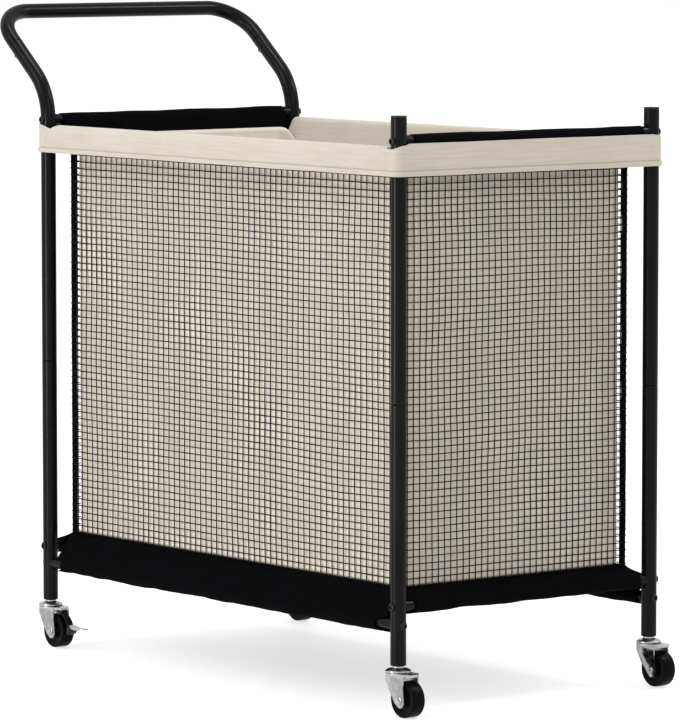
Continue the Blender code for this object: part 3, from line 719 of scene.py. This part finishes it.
def brake_meshes():
    """(black lever and shoe, zinc pedal) about the fork's swivel axis."""
    axle = (TRAIL, WHEEL_R)
    px, pz = 0.031, 0.054
    thick = 0.0010
    outer = [(px + 0.0004, pz + 0.0026), *arc_points(axle, 0.0295 + thick, 62, 20, 12)]
    outer += [(0.0545, 0.0338), (0.0590, 0.0322)]
    inner = [(0.0600, 0.0292), (0.0575, 0.0250), (0.0535, 0.0212), (0.0500, 0.0212)]
    inner += arc_points(axle, 0.0295 - thick, -4, 60, 16)
    inner += [(px - 0.0022, pz - 0.002), (px - 0.0022, pz + 0.0016)]
    lever = loose(outline_mesh(outer + inner, 0.0046))
    at_pin = Matrix.Translation((px, 0, pz)) @ Matrix.Rotation(math.pi / 2, 4, "X")
    pin = turned(rod_rings(0.002, 0.0073), 32, at_pin)
    nub = [(0.0520, 0.0330), (0.0560, 0.0328), (0.0592, 0.0310)]
    nub += [(0.0592, 0.0285), (0.0535, 0.0225), (0.0508, 0.0225)]
    boolean(lever, [pin, outline_mesh(nub, 0.0075)], "UNION")
    rounded(lever, 0.0005, 30)
    black = smooth(lever.data, 35)
    bpy.data.objects.remove(lever)
    pedal = []
    outline = [(0.0532, 0.0350, 0.0056), (0.0580, 0.0337, 0.0066), (0.0640, 0.0324, 0.0078)]
    outline += [(0.0710, 0.0316, 0.0086), (0.0790, 0.0316, 0.0086), (0.0855, 0.0324, 0.0076)]
    outline += [(0.0890, 0.0333, 0.0055), (0.0902, 0.0338, 0.002)]
    for x, z, w in outline:
        pedal.append([(x, w * t, z) for t in np.linspace(-1, 1, 9)])
    mesh = bpy.data.meshes.new("pedal")
    rows = len(pedal[0])
    faces = []
    for i in range(len(pedal) - 1):
        for a in range(i * rows, (i + 1) * rows - 1):
            faces.append((a, a + rows, a + rows + 1, a + 1))
    mesh.from_pydata([p for row in pedal for p in row], [], faces)
    tab = loose(mesh)
    thicken(tab, 0.0014)
    zinc_tab = smooth(tab.data, 40)
    bpy.data.objects.remove(tab)
    return black, zinc_tab


def castors():
    lever, pedal = brake_meshes()
    forks = {braked: fork_mesh(braked) for braked in (False, True)}
    stem, axle, wheel = stem_mesh(), axle_mesh(), wheel_mesh()
    for corner in CORNERS:
        at = POST_AT[corner]
        place = Matrix.Translation((at.x, at.y, 0))
        hub = Matrix.Translation((at.x + TRAIL, at.y, WHEEL_R))
        braked = corner.startswith("rear")
        body = "castor_" + corner
        for name, mesh, matrix, look, rides, slot, node in (
            ("swivel_", stem, place, ZINC, "root", "zinc", "castor_stem_"),
            ("fork_", forks[braked], place, ZINC, body, "zinc", "castor_fork_"),
            ("rivet_", axle, hub, ZINC, body, "zinc", "castor_axle_"),
            ("wheel_tyre_", wheel, hub, TYRE, "wheel_" + corner, "wheel_black", "castor_wheel_"),
        ):
            copy = mesh.copy()
            copy.transform(matrix)
            piece(name + corner, copy, look, rides, slot, [node + corner])
        if braked:
            for name, mesh, look, slot, nodes in (
                ("brake_arm_", lever, PLASTIC, "black_plastic", ["brake_lever_" + corner]),
                ("brake_pedal_", pedal, ZINC, "zinc", []),
            ):
                copy = mesh.copy()
                copy.transform(place)
                piece(name + corner, copy, look, "brake_" + corner, slot, nodes)


# ---------------------------------------------------------------- bag and liner


SIDES = {
    "left": (Vector((X_MID, Y_POST, 0)), Vector((0, -1, 0)), Vector((-1, 0, 0)), LONG / 2),
    "right": (Vector((X_MID, -Y_POST, 0)), Vector((0, 1, 0)), Vector((1, 0, 0)), LONG / 2),
    "front": (Vector((X_FRONT, 0, 0)), Vector((-1, 0, 0)), Vector((0, 1, 0)), Y_POST),
    "rear": (Vector((X_REAR, 0, 0)), Vector((1, 0, 0)), Vector((0, -1, 0)), Y_POST),
}


def is_long(side):
    return side in ("left", "right")


def at_side(side, along, inward, z):
    """The point at a distance along a side from its middle, and inward from its rails' plane."""
    origin, into, run, _ = SIDES[side]
    return origin + run * along + into * inward + Vector((0, 0, z))


def net():
    """Square net of crossing cords on the four walls, with a slight slack that bends its lines."""
    long_pitch, short_pitch, row_pitch = 0.01285, 0.01097, 0.00998
    cord = 0.00085
    for seed, side in enumerate(SIDES):
        half = SIDES[side][3] - NET_INSET
        pitch = long_pitch if is_long(side) else short_pitch
        count = round(2 * half / pitch)
        rows = round((Z_NET[1] - Z_NET[0]) / row_pitch)

        def slack(along, z, half=half, seed=seed):
            """The point of the net nearest to a regular place, moved by its slack."""
            rim = ease((half - abs(along)) / 0.05)
            foot = ease((z - Z_NET[0]) / 0.06) * (0.35 + 0.65 * ease((Z_NET[1] - z) / 0.08))
            drift = 0.0024 * wobble(along, 0, z, 6.0, seed * 9.1)
            drift += 0.0007 * wobble(along, 0, z, 18.0, seed * 5.3)
            drop = 0.0024 * wobble(along, 0, z, 5.0, 40 + seed * 7.7)
            drop += 0.0006 * wobble(along, 0, z, 15.0, 50 + seed)
            bulge = -0.0010 * abs(wobble(along, 0, z, 8.0, 70 + seed * 3.3))
            return along + drift * rim * foot, NET_INSET + bulge * rim * foot, z + drop * rim * foot

        def cord_path(points, front):
            out = []
            for along, z in points:
                a, inward, height = slack(along, z)
                out.append(tuple(at_side(side, a, inward + front, height)))
            return out

        paths = []
        heights = np.linspace(Z_NET[0] - 0.002, Z_NET[1], 64)
        for i in range(1, count):
            along = -half + 2 * half * i / count
            paths.append(cord_path([(along, z) for z in heights], 0.0003))
        lengths = np.linspace(-half, half, 96 if is_long(side) else 56)
        for k in range(rows + 1):
            z = Z_NET[0] + row_pitch * (k + 0.35)
            if z < Z_NET[1]:
                paths.append(cord_path([(along, z) for along in lengths], -0.0003))
        replaced = ["net_bag"] if side == "left" else []
        obj = piece("net_" + side, swept(paths, cord, 6), CORD, "root", "black_net", replaced)


def bindings():
    """Black tape folded over each vertical corner of the net."""
    tape = {"x": 0.0112, "y": 0.0085}
    fold_r = 0.0016
    half_thick = 0.00055
    for corner in CORNERS:
        at = POST_AT[corner]
        in_x = -1 if at.x > X_MID else 1
        in_y = -1 if at.y > 0 else 1
        low, high = Z_NET[0] - 0.004, Z_NET[1]
        section = [(tape["x"], 0.0), (tape["x"] * 0.6, 0.0), (fold_r, 0.0)]
        section += arc_points((fold_r, fold_r), fold_r, 255, 195, 4)
        section += [(0.0, fold_r), (0.0, tape["y"] * 0.6), (0.0, tape["y"])]
        heights = np.linspace(low, high, 120)
        columns, flat = [], []
        length = 0.0
        previous = None
        for a, b in section:
            if previous:
                length += math.hypot(a - previous[0], b - previous[1])
            previous = (a, b)
            column, places = [], []
            for z in heights:
                ripple = 0.0003 * wobble(a, b, z, 30.0, at.x * 9 + at.y)
                x = at.x + in_x * (TAPE_FACE + half_thick + a + ripple)
                y = at.y + in_y * (TAPE_FACE + half_thick + b + ripple)
                column.append((x, y, z))
                places.append((length, z))
            columns.append(column)
            flat.append(places)
        tape_thick = 2 * half_thick
        obj = cloth_piece("binding_" + corner, columns, flat, BINDING, "black_cloth", thickness=tape_thick)


def sleeve_section(height, end, radius=SLEEVE_R, lap=0.014):
    """A strip from its end point, as a tangent down or up to the rail, round it and back against itself."""
    centre = Vector((0, height - 0.0006))
    away = Vector(end) - centre
    normal_angle = math.atan2(away.y, away.x) + math.acos(radius / away.length)
    steps = 8
    touch = centre + radius * Vector((math.cos(normal_angle), math.sin(normal_angle)))
    points = [tuple(Vector(end).lerp(touch, i / steps)) for i in range(steps)]
    start = math.degrees(normal_angle)
    points += arc_points(centre, radius, start, start + 292, 26)
    back = Vector(points[-1])
    inside = Vector(end).lerp(touch, 1 - lap / (Vector(end) - touch).length)
    normal = Vector((math.cos(normal_angle), math.sin(normal_angle)))
    target = inside - normal * 0.0014
    points += [tuple(back.lerp(target, i / 4)) for i in range(1, 5)]
    return points


def sleeve(name, side, level, end, end_gap, replaced, seed, puff=0.0012):
    """A strip of black cloth from the bag to a rail, which it loops round. Its ends are cut at a slant."""
    heights = SIDE_RAIL_Z if is_long(side) else END_RAIL_Z
    section = sleeve_section(heights[level], end)
    half = SIDES[side][3]
    columns = 150 if is_long(side) else 84
    grid, flat = [], []
    run = [0.0]
    for a, b in zip(section, section[1:]):
        run.append(run[-1] + math.dist(a, b))
    for i in range(columns + 1):
        share = -1 + 2 * i / columns
        at_rear = SIDES[side][2].x * share < 0
        column, places = [], []
        for (inward, z), length in zip(section, run):
            reach = half - end_gap(inward, z, at_rear)
            along = share * reach
            free = ease((reach - abs(along)) / 0.03)
            ripple = puff * wobble(along, inward, z, 14.0, seed)
            ripple += 0.5 * puff * wobble(along, inward, z, 40.0, seed + 5)
            ripple *= 0.3 + free
            column.append(tuple(at_side(side, along, inward + 0.6 * ripple, z + ripple - 0.0005)))
            places.append((along, length))
        grid.append(column)
        flat.append(places)
    obj = cloth_piece(name, grid, flat, BLACK, "black_cloth", replaced)
    return obj, (2 * (half - NET_INSET), run[-1])


def black_base():
    """Four flaps that slope from the net's foot to the bottom rails, and the bag's floor."""
    for seed, side in enumerate(SIDES):
        rail_z = (SIDE_RAIL_Z if is_long(side) else END_RAIL_Z)[0]
        gaps = (0.0385, 0.0165, 0.0170) if is_long(side) else (0.0235, 0.0130, 0.0135)

        def gap(inward, z, at_rear, rail_z=rail_z, gaps=gaps):
            """How far the cloth's end stays from the post. Outside the rail it is cut back further."""
            outer_gap, near_gap, under_gap = gaps
            cut_back = ease((-inward / SLEEVE_R - 0.35) / 0.35)
            under = ease((rail_z - z) / SLEEVE_R)
            foot = ease(2.0 * (z - rail_z - 0.008) / (Z_NET[0] - rail_z))
            near = near_gap + (under_gap - near_gap) * under + (NET_INSET + 0.0006 - near_gap) * foot
            near += 0.0075 * at_rear * (1 - foot) * (1 - 0.7 * under)
            return near + (outer_gap - near) * cut_back

        foot_at = (NET_INSET + 0.0004, Z_NET[0] + 0.002)
        replaced = ["bag_base"] if side == "left" else []
        obj, cut = sleeve("flap_" + side, side, 0, foot_at, gap, replaced, seed + 11)
    inset = NET_INSET + 0.0012
    xs = np.linspace(X_REAR + inset, X_FRONT - inset, 90)
    ys = np.linspace(-Y_POST + inset, Y_POST - inset, 50)
    grid = np.array([[(x, y, 0.1662 - 0.0012 + 0.0009 * wobble(x, y, 0, 11.0, 3)) for y in ys] for x in xs])
    flat = np.array([[(x, y) for y in ys] for x in xs])
    obj = cloth_piece("base_floor", grid, flat, BLACK, "black_cloth", thickness=0.0016)
    cut = (LONG - 2 * inset, 2 * (Y_POST - inset))


def top_sleeves():
    """Black strips that hang the net from the four top rails."""
    for seed, side in enumerate(SIDES):
        rail_z = (SIDE_RAIL_Z if is_long(side) else END_RAIL_Z)[1]

        def gap(inward, z, at_rear, rail_z=rail_z):
            return 0.0215 + 0.0015 * ease((rail_z - z) / 0.04)

        net_top = (NET_INSET - 0.0010, Z_NET[1] - 0.0013)
        obj, cut = sleeve("hanger_" + side, side, 1, net_top, gap, [], seed + 31, 0.0007)


def loop_columns(inset, corner_r, step):
    """Places round the cart on a rounded rectangle: (base point, outward direction, side, distance along
    the side from its middle). The base point is on the rectangle set in by the inset."""
    columns = []
    order = ("right", "front", "left", "rear")
    for side in order:
        _, into, run, half = SIDES[side]
        straight = half - inset - corner_r
        count = max(2, round(2 * straight / step))
        for i in range(count):
            along = -straight + 2 * straight * i / count
            columns.append((at_side(side, along, inset, 0), -into, side, along))
        corner_steps = max(6, round(math.pi / 2 * max(corner_r, 0.012) / (step * 0.5)))
        centre = at_side(side, straight, inset + corner_r, 0)
        for i in range(corner_steps):
            angle = math.pi / 2 * i / corner_steps
            direction = (-into) * math.cos(angle) + run * math.sin(angle)
            beyond = straight + corner_r * math.sin(angle)
            columns.append((centre + direction * corner_r, direction, side, beyond))
    return columns


def liner_bag():
    """The liner's walls and floor: loose cloth that billows a little, with hemmed top edges at both ends."""
    columns = loop_columns(LINER_INSET, LINER_CORNER, 0.006)
    low = 0.1695
    rows = 96
    grid, flat = [], []
    run = 0.0
    previous = None
    for base, out, side, along in columns:
        half = SIDES[side][3] - LINER_INSET
        reach = abs(along) / half
        into_corner = ease((abs(along) - (half - LINER_CORNER)) / LINER_CORNER)
        under_roll = 1 - into_corner if is_long(side) else 0.0
        top = Z_HEM + (0.7375 - Z_HEM) * under_roll
        if previous:
            run += (base - previous).length
        previous = base
        column, places = [], []
        for k in range(rows):
            share = k / (rows - 1)
            z = low + (top - low) * share
            edge = ease(share / 0.06) * ease((1 - share) / 0.05) * ease((1 - reach) / 0.06)
            billow = 0.0030 * wobble(base.x, base.y, z, 5.0, 17)
            billow += 0.0016 * wobble(base.x, base.y, z, 15.0, 23)
            folds = 0.0008 * wobble(base.x * 3, base.y * 3, z, 9.0, 29)
            push = min(0.0001, billow + folds - 0.0016) * edge
            hem = 0.0004 if share > 0.985 else 0.0
            curl = 0.004 * (1 - ease(share / 0.012))
            point = base + out * (push + hem - curl)
            column.append((point.x, point.y, z))
            places.append((run, z))
        grid.append(column)
        flat.append(places)
    # The walls take the lighter copy of the beige cloth, which is painted light over the net's shade.
    obj = cloth_piece("liner_wall", grid, flat, PAINTED_LIGHT_WALL_CLOTH, "beige_cloth", ["liner"], closed=True)
    inset = LINER_INSET + 0.004
    xs = np.linspace(X_REAR + inset, X_FRONT - inset, 100)
    ys = np.linspace(-Y_POST + inset, Y_POST - inset, 60)
    corner = LINER_CORNER
    grid = []
    for x in xs:
        line = []
        for y in ys:
            dx = max(0.0, abs(x - X_MID) - (LONG / 2 - inset - corner))
            dy = max(0.0, abs(y) - (Y_POST - inset - corner))
            reach = math.hypot(dx, dy)
            pull = corner / reach if reach > corner else 1.0
            px = x if dx == 0 else X_MID + math.copysign(LONG / 2 - inset - corner + dx * pull, x - X_MID)
            py = y if dy == 0 else math.copysign(Y_POST - inset - corner + dy * pull, y)
            line.append((px, py, low + 0.0004 + 0.0010 * (0.5 + wobble(x, y, 0, 9.0, 61))))
        grid.append(line)
    flat = np.array([[(x, y) for y in ys] for x in xs])
    obj = cloth_piece("liner_floor_cloth", grid, flat, BEIGE, "beige_cloth")


def cuff_columns():
    """Places round the posts: (post line point, outward direction, side, distance from the nearest post,
    corner, turn). Turn goes from 0 at a corner's long side to 1 at its short side."""
    seam = CUFF_SEAM
    places = [0.0, 0.002, 0.004, 0.006, 0.008, 0.010]
    places += [seam + step for step in (-0.0009, -0.0004, 0.0, 0.0004, 0.0009)]
    places += [0.015, 0.017, 0.0185, 0.020, 0.0215, 0.023, 0.025, 0.028]
    columns = []
    corner_after = {"right": "front_right", "front": "front_left", "left": "rear_left", "rear": "rear_right"}
    corner_before = {"right": "rear_right", "front": "front_right", "left": "front_left", "rear": "rear_left"}
    for side in ("right", "front", "left", "rear"):
        _, into, run, half = SIDES[side]
        middle_part = np.linspace(0.032, 2 * half - 0.032, round((2 * half - 0.064) / 0.006))
        for distance in places + list(middle_part) + [2 * half - d for d in reversed(places)]:
            near = min(distance, 2 * half - distance)
            corner = corner_before[side] if distance < half else corner_after[side]
            columns.append((at_side(side, distance - half, 0, 0), -into, side, near, corner, None))
        post = at_side(side, half, 0, 0)
        for i in range(1, 12):
            angle = math.pi / 2 * i / 12
            turn = i / 12 if is_long(side) else 1 - i / 12
            out = run * math.sin(angle) - into * math.cos(angle)
            columns.append((post, out, side, 0.0, corner_after[side], turn))
    return columns


def cuff_top(side, near, corner, turn):
    """The height of the cuff's top edge past a post, and of its band at the cart's ends."""
    if corner == "front_right":
        at_long, dip, dip_at, at_short = 0.7707, 0.7707, 0.001, 0.7755
    elif corner == "rear_right":
        at_long, dip, dip_at, at_short = 0.7742, 0.7684, 0.0225, 0.7772
    else:
        at_long, dip, dip_at, at_short = 0.7742, 0.7712, 0.0100, 0.7772
    if turn is not None:
        return at_long + (at_short - at_long) * ease(turn)
    if is_long(side):
        if near < dip_at:
            return at_long + (dip - at_long) * near / dip_at
        return dip + 0.0015 * ease((near - dip_at) / 0.02)
    return at_short + (Z_CUFF_SHORT - at_short) * ease(near / 0.010)


ROLL_ENDS = {
    "front_right": (0.0125, 0.0090),
    "front_left": (0.0100, 0.0080),
    "rear_right": (0.0210, 0.0060),
    "rear_left": (0.0080, 0.0060),
}


def liner_cuff():
    """The rolled top: over the side rails, down outside, and as a band past the posts and both ends."""
    z_rail = SIDE_RAIL_Z[1]
    foot = Vector((LINER_INSET + 0.0024, 0.7345))
    away = foot - Vector((0, z_rail))
    lean = math.degrees(math.atan2(away.y, away.x) + math.acos(ROLL_R / away.length))
    hem_line = 0.0068
    hem_rows = [0.0, 0.0006, 0.0030, 0.0052]
    groove = (-0.0010, -0.0005, -0.0002, 0.0001, 0.0004, 0.0008, 0.0012, 0.0018, 0.0026)
    hem_rows += [hem_line + step for step in groove]
    plain_rows, arc_rows, inner_rows = 9, 22, 9
    fold = 0.0007
    grid, flat = [], []
    run = 0.0
    previous = None
    for base, out, side, near, corner, turn in cuff_columns():
        roll_from, roll_over = ROLL_ENDS[corner]
        rolled = ease((near - roll_from) / roll_over) if is_long(side) and turn is None else 0.0
        away_from_post = ease(near / 0.05)
        unevenness = 0.0006 * wobble(base.x, base.y, 0, 9.0, 77) * away_from_post
        top = cuff_top(side, near, corner, turn) + unevenness
        swell = 0.0012 * wobble(base.x, base.y, 0, 7.0, 81) * away_from_post
        long_part, short_part = [], []
        for section, high in ((long_part, z_rail), (short_part, top - fold)):
            section += [(-ROLL_R, Z_CUFF_LOW + z) for z in hem_rows]
            first = Z_CUFF_LOW + hem_rows[-1]
            section += [(-ROLL_R, first + (high - first) * k / plain_rows) for k in range(1, plain_rows)]
        long_part += arc_points((0, z_rail), ROLL_R, 180, lean, arc_rows - 1)
        last = Vector(long_part[-1])
        long_part += [tuple(last.lerp(foot, i / inner_rows)) for i in range(1, inner_rows + 1)]
        short_part += arc_points((-ROLL_R + fold, top - fold), fold, 180, 0, arc_rows - 1)
        short_part += [
            (-ROLL_R + 2 * fold, top - fold - 0.007 * i / inner_rows) for i in range(1, inner_rows + 1)
        ]
        seamed = is_long(side) and turn is None
        seam = 0.0006 * math.exp(-(((near - CUFF_SEAM) / 0.0005) ** 2)) if seamed else 0.0
        outer_rows = len(hem_rows) + plain_rows - 1
        section = []
        for index, ((t1, z1), (t0, z0)) in enumerate(zip(long_part, short_part)):
            t, z = t0 + (t1 - t0) * rolled, z0 + (z1 - z0) * rolled
            if index < outer_rows:
                low = z - Z_CUFF_LOW
                hem = 0.0016 * (1 - ease((low - hem_line + 0.0005) / 0.0005))
                hem -= 0.0007 * math.exp(-(((low - hem_line - 0.0006) / 0.0006) ** 2))
                tuck = -0.0004 * math.exp(-(((low - 0.0008) / 0.0010) ** 2))
                bow = 0.0008 * math.sin(math.pi * min(1.0, low / 0.03)) * ease(near / 0.04)
                t += seam - hem - tuck - bow - swell * math.sin(math.pi * min(1.0, low / 0.03))
                z += 0.0006 * wobble(base.x, base.y, 0, 12.0, 91) * (1 - ease(low / 0.01))
            section.append((t, z))
        start = base - out * section[0][0]
        if previous:
            run += (start - previous).length
        previous = start
        column, places, length = [], [], 0.0
        for index, (t, z) in enumerate(section):
            if index:
                length += math.dist(section[index], section[index - 1])
            point = base - out * t
            column.append((point.x, point.y, z))
            places.append((run, length))
        grid.append(column)
        flat.append(places)
    obj = cloth_piece("liner_cuff", grid, flat, BEIGE, "beige_cloth", closed=True)


# ---------------------------------------------------------------- camera and light

CAMERA_AT = (5.879, -4.529, 1.121)
CAMERA_TURN = math.radians(52.17)
CAMERA_PITCH = math.radians(5.25)
LENS = 256.75


def camera():
    data = bpy.data.cameras.new("camera")
    data.lens = LENS
    data.sensor_width = 36.0
    data.clip_start, data.clip_end = 0.1, 100.0
    obj = bpy.data.objects.new("camera", data)
    bpy.context.scene.collection.objects.link(obj)
    obj.location = CAMERA_AT
    obj.rotation_euler = (math.pi / 2 - CAMERA_PITCH, 0, CAMERA_TURN)
    bpy.context.scene.camera = obj


def area_light(name, at, size, power, target=(0.0, 0.0, 0.45)):
    data = bpy.data.lights.new(name, "AREA")
    data.shape = "RECTANGLE"
    data.size, data.size_y = size
    data.energy = power
    obj = bpy.data.objects.new(name, data)
    bpy.context.scene.collection.objects.link(obj)
    obj.location = at
    obj.rotation_euler = (Vector(target) - Vector(at)).to_track_quat("-Z", "Y").to_euler()


def studio():
    world = bpy.data.worlds.new("studio")
    world.use_nodes = True
    world.node_tree.nodes["Background"].inputs["Color"].default_value = (1.0, 1.0, 1.0, 1.0)
    world.node_tree.nodes["Background"].inputs["Strength"].default_value = 1.0
    bpy.context.scene.world = world
    bpy.context.scene.view_settings.view_transform = "Standard"
    area_light("key", (-0.9, -3.0, 2.6), (1.4, 1.4), 34)
    area_light("strip", (0.1, -3.2, 0.45), (0.5, 0.9), 38, (0.0, 0.0, 0.42))
    area_light("fill", (3.4, -0.6, 2.2), (1.6, 1.6), 20)
    area_light("rim", (1.3, 1.85, 2.55), (0.5, 0.5), 24, (-0.45, 0.0, 0.9))
    area_light("top", (-0.2, 0.0, 3.0), (0.3, 1.2), 24, (-0.5, 0.0, 0.8))
    shape = bmesh.new()
    bmesh.ops.create_grid(shape, x_segments=1, y_segments=1, size=30)
    mesh = bpy.data.meshes.new("floor")
    shape.to_mesh(mesh)
    shape.free()
    floor = bpy.data.objects.new("floor", mesh)
    floor.location.z = -0.0005
    bpy.context.scene.collection.objects.link(floor)
    white = (1.0, 1.0, 1.0, 1.0)
    nodes = Nodes("floor_look", (0.5, 0.5, 0.5), 0.6, Emission_Color=white, Emission_Strength=0.62)
    place = nodes.add("TexCoord", outputs=3)
    nodes.bump(nodes.noise(place, 60.0, 2.0), 0.02, 0.001)
    mesh.materials.append(nodes.material)


camera()
studio()
posts()
handle()
rails()
bolts()
castors()
net()
bindings()
black_base()
top_sleeves()
liner_bag()
liner_cuff()

bpy.context.view_layer.update()
